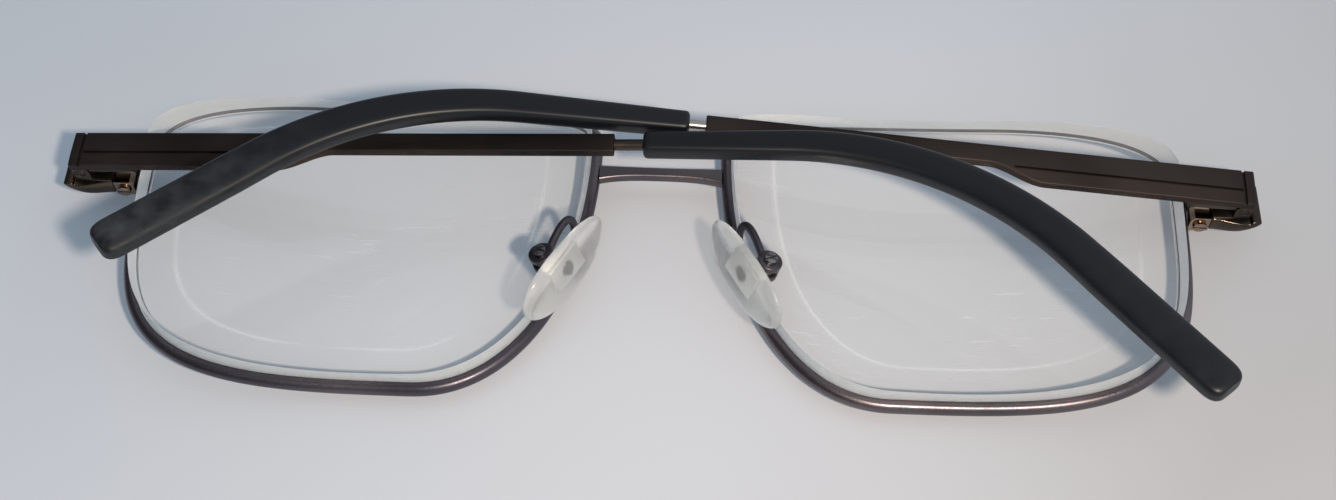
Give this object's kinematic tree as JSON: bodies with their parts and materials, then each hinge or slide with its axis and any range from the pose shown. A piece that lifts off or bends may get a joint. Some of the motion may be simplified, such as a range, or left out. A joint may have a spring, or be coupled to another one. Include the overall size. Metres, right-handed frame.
{
  "type": "eyeglasses",
  "caption": "Full-rim metal eyeglasses with pilot-shaped lenses, adjustable nose pads and folding temples with long plastic tips, folded and lying face down.",
  "frame": {"origin": "middle of the bottom of the bounding box, on the surface that the lens fronts lie on", "axes": "+X along the front towards the right lens, +Y towards the brow, +Z towards the wearer's face"},
  "size_m": [0.148, 0.0482, 0.0205],
  "materials": {
    "frame_metal": "satin",
    "temple_metal": "satin",
    "steel": "satin",
    "lens": "polished",
    "tip": "satin",
    "pad": "satin"
  },
  "bodies": {
    "front": {"left_rim": "frame_metal", "right_rim": "frame_metal", "left_lens": "lens", "right_lens": "lens", "bridge": "frame_metal", "left_end_piece": "frame_metal", "left_block_upper": "frame_metal", "left_block_lower": "frame_metal", "left_block_screw": "steel", "left_hinge_front": "steel", "left_hinge_screw": "steel", "left_pad_arm": "frame_metal", "left_pad_box": "frame_metal", "left_pad_screw": "steel", "right_end_piece": "frame_metal", "right_block_upper": "frame_metal", "right_block_lower": "frame_metal", "right_block_screw": "steel", "right_hinge_front": "steel", "right_hinge_screw": "steel", "right_pad_arm": "frame_metal", "right_pad_box": "frame_metal", "right_pad_screw": "steel"},
    "left_temple": {"left_hinge_temple": "steel", "left_temple_bar": "temple_metal", "left_core_wire": "steel", "left_tip": "tip"},
    "right_temple": {"right_hinge_temple": "steel", "right_temple_bar": "temple_metal", "right_core_wire": "steel", "right_tip": "tip"},
    "left_pad": {"left_pad_insert": "steel", "left_nose_pad": "pad"},
    "right_pad": {"right_pad_insert": "steel", "right_nose_pad": "pad"}
  },
  "joints": [
    {"name": "left_fold", "type": "hinge", "parent": "front", "child": "left_temple", "pos_m": [-0.0716, 0.01016, 0.00735], "axis": [0, -1, 0], "range_deg": [0, 86]},
    {"name": "right_fold", "type": "hinge", "parent": "front", "child": "right_temple", "pos_m": [0.0716, 0.01016, 0.00735], "axis": [0, 1, 0], "range_deg": [0, 86]},
    {"name": "left_pad_rock", "type": "hinge", "parent": "front", "child": "left_pad", "pos_m": [-0.01344, -0.00199, 0.00735], "axis": [-0.2676, 0.1545, 0.9511], "range_deg": [-12, 12]},
    {"name": "right_pad_rock", "type": "hinge", "parent": "front", "child": "right_pad", "pos_m": [0.01344, -0.00199, 0.00735], "axis": [0.2676, 0.1545, 0.9511], "range_deg": [-12, 12]}
  ],
  "couplings": [
    {"joint": "right_fold", "follows": "left_fold", "ratio": 1}
  ]
}
